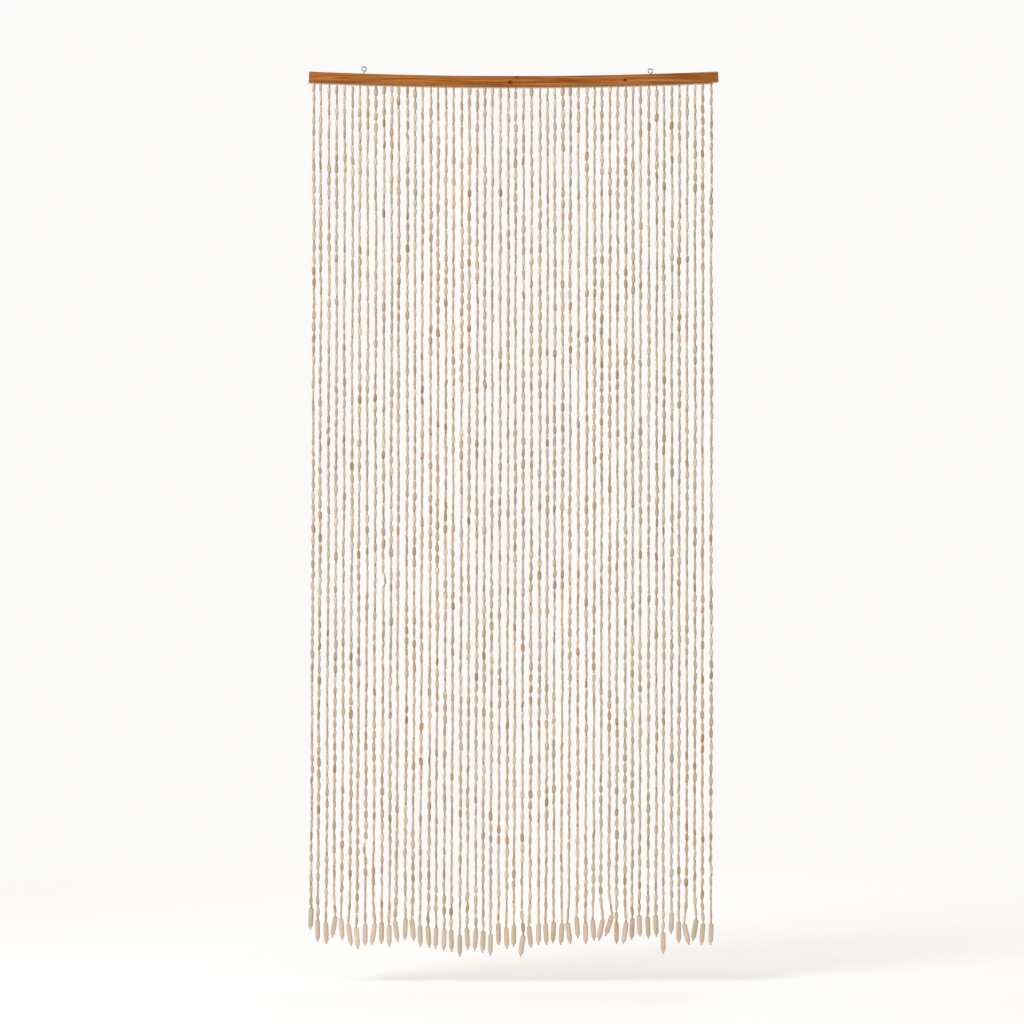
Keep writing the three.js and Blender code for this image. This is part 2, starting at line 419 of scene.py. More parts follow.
class Tree:
    """A node tree under construction, with short calls that add nodes and link them."""

    def __init__(self, tree: bpy.types.NodeTree) -> None:
        """Takes the tree of a material, a world or a node group."""
        self.tree = tree

    def feed(self, socket: bpy.types.NodeSocket, value: Source) -> None:
        """Links a socket to another one, or sets its value.

        Args:
            socket: the input.
            value: an output socket or a plain value.
        """
        if isinstance(value, bpy.types.NodeSocket):
            self.tree.links.new(value, socket)
        else:
            socket.default_value = value

    def node(self, kind: str, inputs: dict[Any, Source] | None = None, **settings: Any) -> bpy.types.Node:
        """Adds a node.

        Args:
            kind: the node's type.
            inputs: what feeds its inputs, by name or index.
            settings: its other values.

        Returns:
            The node.
        """
        made = self.tree.nodes.new(kind)
        for name, value in settings.items():
            setattr(made, name, value)
        for key, value in (inputs or {}).items():
            self.feed(made.inputs[key], value)
        return made

    def math(self, operation: str, first: Source, second: Source = 0.0) -> bpy.types.NodeSocket:
        """Returns the result of a Math node on two values."""
        return self.node("ShaderNodeMath", {0: first, 1: second}, operation=operation).outputs[0]

    def vector(self, operation: str, first: Source, second: Source) -> bpy.types.NodeSocket:
        """Returns the vector result of a Vector Math node."""
        return self.node("ShaderNodeVectorMath", {0: first, 1: second}, operation=operation).outputs[0]

    def spread(
        self, value: Source, low: float, high: float, to_low: float, to_high: float
    ) -> bpy.types.NodeSocket:
        """Returns a value mapped from one range to another, without leaving it."""
        inputs = {0: value, 1: low, 2: high, 3: to_low, 4: to_high}
        return self.node("ShaderNodeMapRange", inputs).outputs[0]

    def mix(self, share: Source, low: Source, high: Source, blend: str = "MIX") -> bpy.types.NodeSocket:
        """Returns a mix of two colours, of which the second one shows by the share given."""
        inputs = {0: share, 6: low, 7: high}
        return self.node("ShaderNodeMix", inputs, data_type="RGBA", blend_type=blend).outputs[2]

    def ramp(self, value: Source, stops: Sequence[tuple[float, Colour]]) -> bpy.types.NodeSocket:
        """Colours a value through a ramp.

        Args:
            value: the value, 0 to 1.
            stops: places along the ramp with their colours.

        Returns:
            The colour.
        """
        made = self.node("ShaderNodeValToRGB", {0: value})
        elements = made.color_ramp.elements
        while len(elements) < len(stops):
            elements.new(0.5)
        for element, (place, colour) in zip(elements, stops):
            element.position, element.color = place, colour
        return made.outputs[0]

    def noise(self, place: Source, scale: float, detail: float = 2.0) -> bpy.types.NodeSocket:
        """Returns the value of a noise texture at a place."""
        inputs = {"Vector": place, "Scale": scale, "Detail": detail}
        return self.node("ShaderNodeTexNoise", inputs).outputs[0]

    def bump(self, height: Source, strength: float, distance: float) -> bpy.types.NodeSocket:
        """Returns a normal that follows a height."""
        inputs = {"Height": height, "Strength": strength, "Distance": distance}
        return self.node("ShaderNodeBump", inputs).outputs[0]

    def attribute(self, name: str) -> bpy.types.NodeSocket:
        """Returns a vector that the mesh holds at each point."""
        return self.node("ShaderNodeAttribute", attribute_name=name).outputs["Vector"]

    def group(self, group: bpy.types.NodeTree, inputs: dict[str, Source]) -> bpy.types.Node:
        """Places a shared node group with what feeds its sockets, and returns its node."""
        return self.node("ShaderNodeGroup", inputs, node_tree=group)


def new_group(
    name: str, inputs: dict[str, str], outputs: Sequence[str]
) -> tuple[bpy.types.NodeTree, Tree, Any, Any]:
    """Starts a shader node group.

    Args:
        name: the group's name.
        inputs: socket names with their kinds, Vector or Float.
        outputs: names of the values that it puts out.

    Returns:
        The group, its tree, the outputs of its input node and the inputs of its output node.
    """
    group = bpy.data.node_groups.new(name, "ShaderNodeTree")
    for socket, kind in inputs.items():
        group.interface.new_socket(socket, in_out="INPUT", socket_type="NodeSocket" + kind)
    for socket in outputs:
        group.interface.new_socket(socket, in_out="OUTPUT", socket_type="NodeSocketFloat")
    tree = Tree(group)
    return group, tree, tree.node("NodeGroupInput").outputs, tree.node("NodeGroupOutput").inputs


def wood_grain() -> bpy.types.NodeTree:
    """Builds the grain that all the woods share; it runs along Z of the place that it is given.

    Returns:
        A group that puts out streaks, pores and a height.
    """
    group, tree, given, result = new_group(
        "wood_grain", {"Place": "Vector", "Across": "Float", "Along": "Float"}, ("Streak", "Pore", "Height")
    )
    across = given["Across"]
    scale = tree.node("ShaderNodeCombineXYZ", {0: across, 1: across, 2: given["Along"]}).outputs[0]
    place = tree.vector("MULTIPLY", given["Place"], scale)
    streak = tree.spread(tree.noise(place, 1.0, detail=4.0), *STREAK_RANGE, 0.0, 1.0)
    pore = tree.spread(tree.noise(place, PORE_FINENESS), *PORE_RANGE, 0.0, 1.0)
    tree.feed(result["Streak"], streak)
    tree.feed(result["Pore"], pore)
    tree.feed(result["Height"], tree.math("SUBTRACT", streak, pore))
    return group


def cord_twist() -> bpy.types.NodeTree:
    """Builds the lay of a twisted cord from its turn round the section and its run.

    Returns:
        A group that puts out the ply, high on its crown and low in the groove.
    """
    group, tree, given, result = new_group(
        "cord_twist", {"Run": "Vector", "Plies": "Float", "Pitch": "Float"}, ("Ply",)
    )
    parts = tree.node("ShaderNodeSeparateXYZ", {0: given["Run"]}).outputs
    turns = tree.math("MULTIPLY", tree.math("DIVIDE", parts[2], given["Pitch"]), given["Plies"])
    phase = tree.math("ADD", tree.math("MULTIPLY", parts[0], given["Plies"]), turns)
    wave = tree.math("SINE", tree.math("MULTIPLY", phase, math.pi))
    tree.feed(result["Ply"], tree.math("ABSOLUTE", wave))
    return group


def knot_in_wood() -> bpy.types.NodeTree:
    """Builds a knot in sawn wood, seen on a face that the grain crosses along X.

    Returns:
        A group that puts out the knot's mask and how far it pushes the grain aside.
    """
    group, tree, given, result = new_group(
        "knot_in_wood", {"Place": "Vector", "Middle": "Vector", "Size": "Vector"}, ("Mask", "Push")
    )
    away = tree.vector("DIVIDE", tree.vector("SUBTRACT", given["Place"], given["Middle"]), given["Size"])
    flat = tree.vector("MULTIPLY", away, (1.0, 0.0, 1.0))
    reach = tree.node("ShaderNodeVectorMath", {0: flat}, operation="LENGTH").outputs["Value"]
    tree.feed(result["Mask"], tree.spread(reach, *KNOT_RIM, 1.0, 0.0))
    pull = tree.spread(reach, 0.0, KNOT_PULL, 1.0, 0.0)
    rise = tree.node("ShaderNodeSeparateXYZ", {0: flat}).outputs[2]
    tree.feed(result["Push"], tree.math("MULTIPLY", rise, tree.math("POWER", pull, 2.0)))
    return group


def new_material(name: str, **plain: Any) -> tuple[bpy.types.Material, Tree, Any]:
    """Starts a material with one Principled shader.

    Args:
        name: the material's name.
        plain: values that are the same all over, by socket name with underscores.

    Returns:
        The material, its tree and the shader's inputs.
    """
    material = bpy.data.materials.new(name)
    material.use_nodes = True
    shader = material.node_tree.nodes["Principled BSDF"]
    for socket, value in plain.items():
        shader.inputs[socket.replace("_", " ")].default_value = value
    return material, Tree(material.node_tree), shader.inputs


@dataclass(frozen=True)
class StainedPine:
    """Orange-brown stained pine under satin varnish, with its grain along the rail."""

    dark: Colour = screen(104, 46, 10)
    ground: Colour = screen(154, 90, 33)
    light: Colour = screen(184, 120, 57)
    knot: Colour = screen(78, 26, 4)
    end: Colour = screen(120, 66, 28)
    # Knots: place along the rail, height above its middle, share of the full size
    knots: tuple[tuple[float, float, float], ...] = (
        (-8 * MM, -2.6 * MM, 1.0),
        (6.5 * MM, 9.8 * MM, 0.75),
        (245 * MM, 2.4 * MM, 0.85),
    )
    knot_size: tuple[float, float, float] = (5.8 * MM, 1.0, 4.4 * MM)
    # Darker flames: place along the rail, height above its middle, half their length, half their height
    flames: tuple[tuple[float, float, float, float], ...] = (
        (-375 * MM, 6.6 * MM, 24 * MM, 2.6 * MM),
        (-255 * MM, 5.4 * MM, 34 * MM, 1.8 * MM),
        (6 * MM, -2.6 * MM, 17 * MM, 1.5 * MM),
        (104 * MM, 4.6 * MM, 22 * MM, 1.7 * MM),
        (259 * MM, 5.6 * MM, 15 * MM, 1.8 * MM),
        (348 * MM, 6.8 * MM, 27 * MM, 1.8 * MM),
    )
    # Layers of grain: how fine it is across and along, and its share of the whole
    layers: tuple[tuple[float, float, float], ...] = (
        (170.0, 6.0, 0.38),
        (380.0, 9.0, 0.4),
        (900.0, 14.0, 0.22),
    )
    stops: tuple[float, float, float] = (0.18, 0.44, 0.74)
    pore_share: float = 0.35
    flame_share: float = 0.42
    knot_share: float = 0.9
    knot_push: float = 1.6 * MM
    end_from: float = 449.0 * MM
    end_share: float = 0.7
    dull: float = 0.46
    satin: float = 0.36
    bump: float = 0.25
    bump_depth: float = 0.15 * MM

    def material(self, grain: bpy.types.NodeTree, knot: bpy.types.NodeTree) -> bpy.types.Material:
        """Builds the finish.

        Args:
            grain: the shared wood grain.
            knot: the shared knot.

        Returns:
            The rail's material.
        """
        material, tree, shader = new_material("stained_pine", Specular_IOR_Level=0.15)
        place = tree.node("ShaderNodeTexCoord").outputs["Object"]
        mask: Source = 0.0
        push: Source = 0.0
        for along, up, share in self.knots:
            size = tuple(side * share for side in self.knot_size)
            made = tree.group(knot, {"Place": place, "Middle": (along, 0.0, up), "Size": size}).outputs
            mask = tree.math("MAXIMUM", mask, made["Mask"])
            push = tree.math("ADD", push, made["Push"])
        lift = tree.math("MULTIPLY", push, -self.knot_push)
        bent = tree.vector("ADD", place, tree.node("ShaderNodeCombineXYZ", {2: lift}).outputs[0])
        quarter = (0, math.pi / 2, 0)
        turned = tree.node("ShaderNodeMapping", {"Vector": bent, "Rotation": quarter}).outputs[0]
        depth: Source = 0.0
        for across, along, share in self.layers:
            fine = tree.group(grain, {"Place": turned, "Across": across, "Along": along}).outputs
            depth = tree.math("ADD", depth, tree.math("MULTIPLY", fine["Streak"], share))
        colour = tree.ramp(depth, tuple(zip(self.stops, (self.dark, self.ground, self.light))))
        colour = tree.mix(tree.math("MULTIPLY", fine["Pore"], self.pore_share), colour, self.dark)
        for along, up, length, height in self.flames:
            size = (length, 1.0, height)
            made = tree.group(knot, {"Place": place, "Middle": (along, 0.0, up), "Size": size}).outputs
            colour = tree.mix(tree.math("MULTIPLY", made["Mask"], self.flame_share), colour, self.dark)
        colour = tree.mix(tree.math("MULTIPLY", mask, self.knot_share), colour, self.knot)
        run = tree.math("ABSOLUTE", tree.node("ShaderNodeSeparateXYZ", {0: place}).outputs[0])
        cut_end = tree.spread(run, self.end_from, self.end_from + MM, 0.0, self.end_share)
        tree.feed(shader["Base Color"], tree.mix(cut_end, colour, self.end))
        tree.feed(shader["Roughness"], tree.spread(fine["Streak"], 0.0, 1.0, self.dull, self.satin))
        tree.feed(shader["Normal"], tree.bump(fine["Height"], self.bump, self.bump_depth))
        return material


@dataclass(frozen=True)
class PaleWood:
    """Pale turned wood whose tone changes from bead to bead, with its grain along each bead."""

    name: str
    tones: tuple[tuple[float, Colour], ...]
    # The colour that grain streaks and pores are darkened towards, which also paints the shade at the ends
    streak: Colour
    across: float
    along: float
    bump: float
    bump_depth: float = 0.12 * MM
    patch_scale: float = 95.0
    patch_range: tuple[float, float] = (0.3, 0.7)
    patch_reach: float = 0.16
    streak_share: float = 0.3
    pore_share: float = 0.3
    # Painted shade at the ends of the beads, where they meet, and in a pendant's bore: it starts at this
    # nearness to an end and darkens by this share at most
    end_shade_from: float = 0.86
    end_shade_share: float = 0.35
    dull: float = 0.62
    waxed: float = 0.48

    def material(self, grain: bpy.types.NodeTree) -> bpy.types.Material:
        """Builds the finish from the grain's place and the marks that each bead carries.

        Args:
            grain: the shared wood grain.

        Returns:
            The material.
        """
        material, tree, shader = new_material(self.name, Specular_IOR_Level=0.4)
        place = tree.attribute(GRAIN)
        made = tree.group(grain, {"Place": place, "Across": self.across, "Along": self.along}).outputs
        tone, shade, end = tree.node("ShaderNodeSeparateXYZ", {0: tree.attribute(MARK)}).outputs
        patch = tree.spread(tree.noise(place, self.patch_scale), *self.patch_range, -1.0, 1.0)
        tone = tree.math("ADD", tone, tree.math("MULTIPLY", patch, self.patch_reach))
        colour = tree.ramp(tone, self.tones)
        # Painted shade: darker towards the ends of each bead, where it meets the next one, and in the
        # pendant's bore
        end_shade = tree.spread(end, self.end_shade_from, 1.0, 0.0, self.end_shade_share)
        streak = tree.math("MULTIPLY", made["Streak"], self.streak_share)
        pore = tree.math("MULTIPLY", made["Pore"], self.pore_share)
        for share in (streak, pore, end_shade):
            colour = tree.mix(share, colour, self.streak, "MULTIPLY")
        light = tree.node("ShaderNodeCombineColor", {0: shade, 1: shade, 2: shade}).outputs[0]
        tree.feed(shader["Base Color"], tree.mix(1.0, colour, light, "MULTIPLY"))
        tree.feed(shader["Roughness"], tree.spread(made["Streak"], 0.0, 1.0, self.dull, self.waxed))
        if self.bump:
            tree.feed(shader["Normal"], tree.bump(made["Height"], self.bump, self.bump_depth))
        return material


@dataclass(frozen=True)
class CottonCord:
    """Cream cotton cord of twisted plies."""

    name: str
    bump: float
    crown: Colour = screen(228, 208, 188)
    # Painted shade: the grooves between the plies are coloured darker than their crowns
    groove: Colour = screen(180, 154, 130)
    plies: float = 3.0
    pitch: float = 5.0 * MM
    bump_depth: float = 0.3 * MM
    fuzz_scale: float = 900.0
    fuzz_range: tuple[float, float] = (0.3, 0.7)
    smooth: float = 0.8
    fuzzy: float = 0.95

    def material(self, twist: bpy.types.NodeTree) -> bpy.types.Material:
        """Builds the finish.

        Args:
            twist: the shared cord twist.

        Returns:
            The material.
        """
        material, tree, shader = new_material(self.name, Specular_IOR_Level=0.2)
        run = tree.attribute(GRAIN)
        ply = tree.group(twist, {"Run": run, "Plies": self.plies, "Pitch": self.pitch}).outputs["Ply"]
        fuzz = tree.noise(run, self.fuzz_scale, detail=3.0)
        # The ply mixes the crown's colour with the darker groove colour, painted shade in the twist's
        # grooves
        tree.feed(shader["Base Color"], tree.mix(ply, self.groove, self.crown))
        tree.feed(shader["Roughness"], tree.spread(fuzz, *self.fuzz_range, self.smooth, self.fuzzy))
        if self.bump:
            tree.feed(shader["Normal"], tree.bump(ply, self.bump, self.bump_depth))
        return material


@dataclass(frozen=True)
class NickelWire:
    """Nickel-plated steel wire, a little dull where it was handled."""

    bright: Colour = screen(168, 167, 163)
    dull: Colour = screen(122, 120, 116)
    stain_scale: float = 420.0
    stain_range: tuple[float, float] = (0.35, 0.7)
    polished: float = 0.24
    handled: float = 0.42

    def material(self) -> bpy.types.Material:
        """Builds the finish and returns its material."""
        material, tree, shader = new_material("nickel_wire", Metallic=1.0)
        place = tree.node("ShaderNodeTexCoord").outputs["Object"]
        stain = tree.spread(tree.noise(place, self.stain_scale, detail=3.0), *self.stain_range, 0.0, 1.0)
        tree.feed(shader["Base Color"], tree.mix(stain, self.bright, self.dull))
        tree.feed(shader["Roughness"], tree.spread(stain, 0.0, 1.0, self.polished, self.handled))
        return material


@dataclass
class StrandPath:
    """The line of one strand, read from the frame: down its beads and through its pendant to its knot."""

    beads: np.ndarray
    knot: np.ndarray

    @property
    def axis(self) -> np.ndarray:
        """Returns the direction in which the pendant hangs."""
        along = self.knot[0] - self.beads[-1]
        return along / np.linalg.norm(along)

    @property
    def runs(self) -> np.ndarray:
        """Returns the distance along the beads at each of their points."""
        steps = np.linalg.norm(np.diff(self.beads, axis=0), axis=1)
        return np.concatenate([[0], np.cumsum(steps)])

    def at(self, runs: np.ndarray) -> np.ndarray:
        """Returns the point along the beads at each of some distances from the strand's top."""
        return np.stack([np.interp(runs, self.runs, self.beads[:, k]) for k in range(3)], -1)


@dataclass
class Rail:
    """The bowed lath, with a hole in its underside for each strand and one in its top for each eye."""

    length: float = 900 * MM
    height: float = 23 * MM
    depth: float = 12 * MM
    sag: float = 10 * MM
    edge: float = 1.4 * MM
    edge_segments: int = 3
    slices: int = 60
    hole_radius: float = 2.4 * MM
    hole_depth: float = 6 * MM
    hole_sides: int = 12
    smooth_angle: float = 35.0

    @property
    def bow_radius(self) -> float:
        """Returns the radius of the rail's middle line."""
        return (self.length**2 / 4 + self.sag**2) / (2 * self.sag)

    @property
    def middle_depth(self) -> float:
        """Returns Y of the plane half-way through the rail, where the strands hang."""
        return -self.depth / 2

    def line(self, along: Any, above: float) -> Any:
        """Returns Z at X, or at an array of X, of a line that runs with the bow above the rail's middle."""
        return self.bow_radius - np.sqrt((self.bow_radius - above) ** 2 - along**2)

    def lath(self) -> bpy.types.Object:
        """Models the lath straight, eases its edges and bows it.

        Returns:
            The bowed lath, with no holes.
        """
        bench = Bench(
            bpy.ops.mesh.primitive_cube_add,
            "rail_lath",
            size=1,
            scale=(self.length, self.height, self.depth),
        )
        bpy.ops.mesh.select_all(action="SELECT")
        bpy.ops.mesh.bevel(offset=self.edge, segments=self.edge_segments)
        step = self.length / self.slices
        bench.cut([step * k - self.length / 2 for k in range(1, self.slices)], (1, 0, 0))
        lath = bench.done(self.smooth_angle)
        bend = self.length / self.bow_radius
        apply_modifier(lath, "SIMPLE_DEFORM", deform_method="BEND", deform_axis="Z", angle=bend)
        upright = Matrix.Rotation(math.pi / 2, 4, "X")
        lath.data.transform(Matrix.Translation((0, self.middle_depth, 0)) @ upright)
        return lath

    def pegs(self, strands: Sequence[StrandPath]) -> bpy.types.Object:
        """Models the pegs that cut the cord holes.

        Args:
            strands: the strands, whose cords come out of the holes.

        Returns:
            One object with a peg for each strand.
        """
        bench = Bench(
            bpy.ops.mesh.primitive_cylinder_add,
            "cord_peg",
            vertices=self.hole_sides,
            radius=self.hole_radius,
            depth=2 * self.hole_depth,
        )
        pattern = Pattern.take(bench.done(self.smooth_angle))
        middles = np.array([(path.beads[0, 0], path.beads[0, 1], 0.0) for path in strands])
        middles[:, 2] = self.line(middles[:, 0], -self.height / 2)
        places = pattern.points + middles[:, None]
        heap = Heap()
        heap.add(pattern, places, np.zeros(3), np.zeros(3), 0)
        return heap.piece("cord_pegs", ())

    def build(self, strands: Sequence[StrandPath], finish: bpy.types.Material) -> bpy.types.Object:
        """Models the rail and dresses it.

        Args:
            strands: the strands that hang from it.
            finish: the rail's wood.

        Returns:
            The rail.
        """
        lath = self.lath()
        pegs = self.pegs(strands)
        apply_modifier(lath, "BOOLEAN", operation="DIFFERENCE", object=pegs, solver="EXACT")
        discard(pegs)
        bpy.ops.object.shade_smooth_by_angle(angle=math.radians(self.smooth_angle))
        lath.data.materials.clear()
        lath.data.materials.append(finish)
        finish_piece(lath, "rail_wood", "rail")
        return lath


@dataclass
class ScrewEye:
    """A screw eye: a ring of wire that closes just beside its threaded shank."""

    side: Side
    wire_radius: float = 1.3 * MM
    shank_radius: float = 1.1 * MM
    ring_gap: float = 16.0
    ring_lead: float = 13.0
    ring_steps: int = 44
    wire_sides: int = 14
    thread_pitch: float = 1.1 * MM
    thread_depth: float = 0.32 * MM
    thread_steps: int = 16
    ridge_share: float = 1.7
    point_share: float = 0.2
    neck: float = 1.6 * MM
    # Where the thread starts and where the point does, and how much of the shank is bare, in necks
    thread_from: float = 2.2
    point_from: float = 3.0
    bare_length: float = 5.0

    def ring(self, middle: Vector, radius: float) -> bpy.types.Object:
        """Spins the wire round the ring's middle and closes its ends.

        Args:
            middle: the ring's middle.
            radius: the ring's radius at the middle of its wire.

        Returns:
            The ring.
        """
        bench = Bench(
            bpy.ops.mesh.primitive_circle_add,
            self.side.value + "_ring",
            vertices=self.wire_sides,
            radius=self.wire_radius,
            fill_type="NGON",
            location=middle + Vector((0, 0, -radius)),
            rotation=(0, math.pi / 2, 0),
        )
        bpy.ops.mesh.select_all(action="SELECT")
        sweep = math.radians(360 - self.ring_gap)
        bpy.ops.mesh.spin(steps=self.ring_steps, angle=sweep, center=middle, axis=(0, 1, 0))
        ring = bench.done(SMOOTH_ANGLE)
        lead = Matrix.Rotation(math.radians(self.ring_lead), 4, "Y")
        ring.data.transform(Matrix.Translation(middle) @ lead @ Matrix.Translation(-middle))
        return ring

    def shank(self, top: Vector, length: float) -> bpy.types.Object:
        """Models the shank with its neck under the ring and its point.

        Args:
            top: the shank's top, inside the ring's wire.
            length: the shank's length.

        Returns:
            The shank.
        """
        bench = Bench(
            bpy.ops.mesh.primitive_cylinder_add,
            self.side.value + "_shank",
            vertices=self.wire_sides,
            radius=self.shank_radius,
            depth=length,
            location=(0, 0, -length / 2),
        )
        bench.cut((-self.neck, -2 * self.neck, self.point_from * self.neck - length), (0, 0, 1))
        swell = self.wire_radius / self.shank_radius
        bench.scale_ring(0.0, swell, swell)
        bench.scale_ring(-self.neck, swell, swell)
        bench.scale_ring(-length, self.point_share, self.point_share)
        shank = bench.done(SHARP_ANGLE)
        shank.data.transform(Matrix.Translation(top))
        return shank

    def thread(self, top: Vector, length: float) -> bpy.types.Object:
        """Models the thread as a helical ridge, with a Screw modifier on its section.

        Args:
            top: the thread's start on the shank's middle line.
            length: the thread's length.

        Returns:
            The thread.
        """
        bench = Bench(
            bpy.ops.mesh.primitive_circle_add,
            self.side.value + "_thread",
            vertices=3,
            radius=self.ridge_share * self.thread_depth,
            location=(self.shank_radius, 0, 0),
            rotation=(math.pi / 2, 0, 0),
        )
        ridge = bench.done(SHARP_ANGLE)
        turns = int(length / self.thread_pitch)
        apply_modifier(
            ridge,
            "SCREW",
            screw_offset=-self.thread_pitch,
            iterations=turns,
            steps=self.thread_steps,
            render_steps=self.thread_steps,
            use_merge_vertices=True,
        )
        bpy.ops.object.mode_set(mode="EDIT")
        bpy.ops.mesh.select_all(action="SELECT")
        bpy.ops.mesh.fill_holes(sides=3)
        bpy.ops.mesh.normals_make_consistent(inside=False)
        bpy.ops.object.mode_set(mode="OBJECT")
        ridge.data.transform(Matrix.Translation(top))
        return ridge

    def build(self, finish: bpy.types.Material) -> bpy.types.Object:
        """Models the eye where its node stands and dresses it.

        Args:
            finish: the wire's metal.

        Returns:
            The eye.
        """
        low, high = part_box(self.side.value)
        radius = (high.x - low.x) / 2 - self.wire_radius
        middle = Vector(((low.x + high.x) / 2, (low.y + high.y) / 2, high.z - radius - self.wire_radius))
        top = middle + Vector((0, 0, -radius))
        length = top.z - low.z
        start = top + Vector((0, 0, -self.thread_from * self.neck))
        parts = [
            self.ring(middle, radius),
            self.shank(top, length),
            self.thread(start, length - self.bare_length * self.neck),
        ]
        choose(parts[0])
        for part in parts[1:]:
            part.select_set(True)
        bpy.ops.object.join()
        eye = parts[0]
        eye.name = self.side.value + "_wire"
        eye.data.materials.append(finish)
        finish_piece(eye, "eye_metal", self.side.value)
        return eye


@dataclass
class Bead:
    """A bead turned round and then pressed flat, wide in its middle and cut off at its ends."""

    kind: BeadKind
    length: float
    width: float
    thickness: float
    end_share: float
    fullness: float
    sides: int
    cuts: tuple[float, ...]

    def pattern(self) -> Pattern:
        """Models the bead upright round the origin.

        Returns:
            Its mesh as a pattern.
        """
        half = self.length / 2
        bench = Bench(
            bpy.ops.mesh.primitive_cylinder_add,
            self.kind.value + "_bead",
            vertices=self.sides,
            radius=self.width / 2,
            depth=self.length,
        )
        bench.cut([half * share for share in self.cuts], (0, 0, 1))
        for share in (-1.0, *self.cuts, 1.0):
            swell = self.end_share + (1 - self.end_share) * (1 - abs(share) ** self.fullness)
            bench.scale_ring(half * share, swell, swell * self.thickness / self.width)
        return Pattern.take(bench.done(SMOOTH_ANGLE))


def oval_bead() -> Bead:
    """Returns the flat oval bead."""
    return Bead(
        BeadKind.OVAL,
        length=17.4 * MM,
        width=8.6 * MM,
        thickness=5.6 * MM,
        end_share=0.62,
        fullness=2.9,
        sides=10,
        cuts=(-0.8, -0.42, 0.42, 0.8),
    )


def spacer_bead() -> Bead:
    """Returns the small round spacer."""
    return Bead(
        BeadKind.SPACER,
        length=7.0 * MM,
        width=4.9 * MM,
        thickness=4.9 * MM,
        end_share=0.8,
        fullness=2.4,
        sides=8,
        cuts=(-0.55, 0.55),
    )


@dataclass(frozen=True)
class Slip:
    """A place where a strand has caught: its line is pushed aside over a short reach and shows bare cord."""

    strand: int
    height: float
    aside: float
    bare: float


@dataclass
class Threading:
    """How beads sit on a strand: their chances, play and tones, the same for all the strands."""

    cord_radius: float = 0.9 * MM
    cord_sides: int = 6
    gap: tuple[float, float] = (0.05 * MM, 0.4 * MM)
    bare_gap: tuple[float, float] = (1.2 * MM, 2.6 * MM)
    bare_chance: float = 0.02
    spacer_first: float = 0.45
    length_play: float = 0.075
    width_play: float = 0.075
    offset: float = 0.28 * MM
    tilt: float = 3.4
    sway: float = 1.0 * MM
    # Shares of the sway along X and Y, its waves down a strand, and how strongly each may show
    sway_axes: tuple[float, float] = (1.0, 0.6)
    sway_waves: tuple[float, ...] = (3.1, 7.3, 17.0)
    sway_strength: tuple[float, float] = (0.3, 1.0)
    # The sway dies out at either end, over one part in this many of the strand
    still_parts: float = 12.0
    turn_step: float = 26.0
    turn_chance: float = 0.2
    face_on_spread: float = 44.0
    edge_on: float = 90.0
    edge_on_chance: float = 0.4
    slip_reach: float = 11.0 * MM
    slips: tuple[Slip, ...] = (
        Slip(strand=8, height=-1688 * MM, aside=-4.2 * MM, bare=8.0 * MM),
        Slip(strand=10, height=-1096 * MM, aside=5.4 * MM, bare=0.6 * MM),
    )
    shade_spread: float = 0.07
    shade_range: tuple[float, float] = (0.84, 1.14)
    # Tones of the beads: chance, and the range that the tone is drawn from
    tone_chances: tuple[tuple[float, float, float], ...] = (
        (0.16, 0.0, 0.15),
        (0.52, 0.15, 0.5),
        (0.20, 0.5, 0.68),
        (0.06, 0.72, 0.82),
        (0.045, 0.85, 0.93),
        (0.015, 0.95, 1.0),
    )


@dataclass
class Laid:
    """Where the beads of one strand lie, from its top down."""

    ovals: np.ndarray
    middles: np.ndarray
    tops: np.ndarray
    feet: np.ndarray
    lengths: np.ndarray


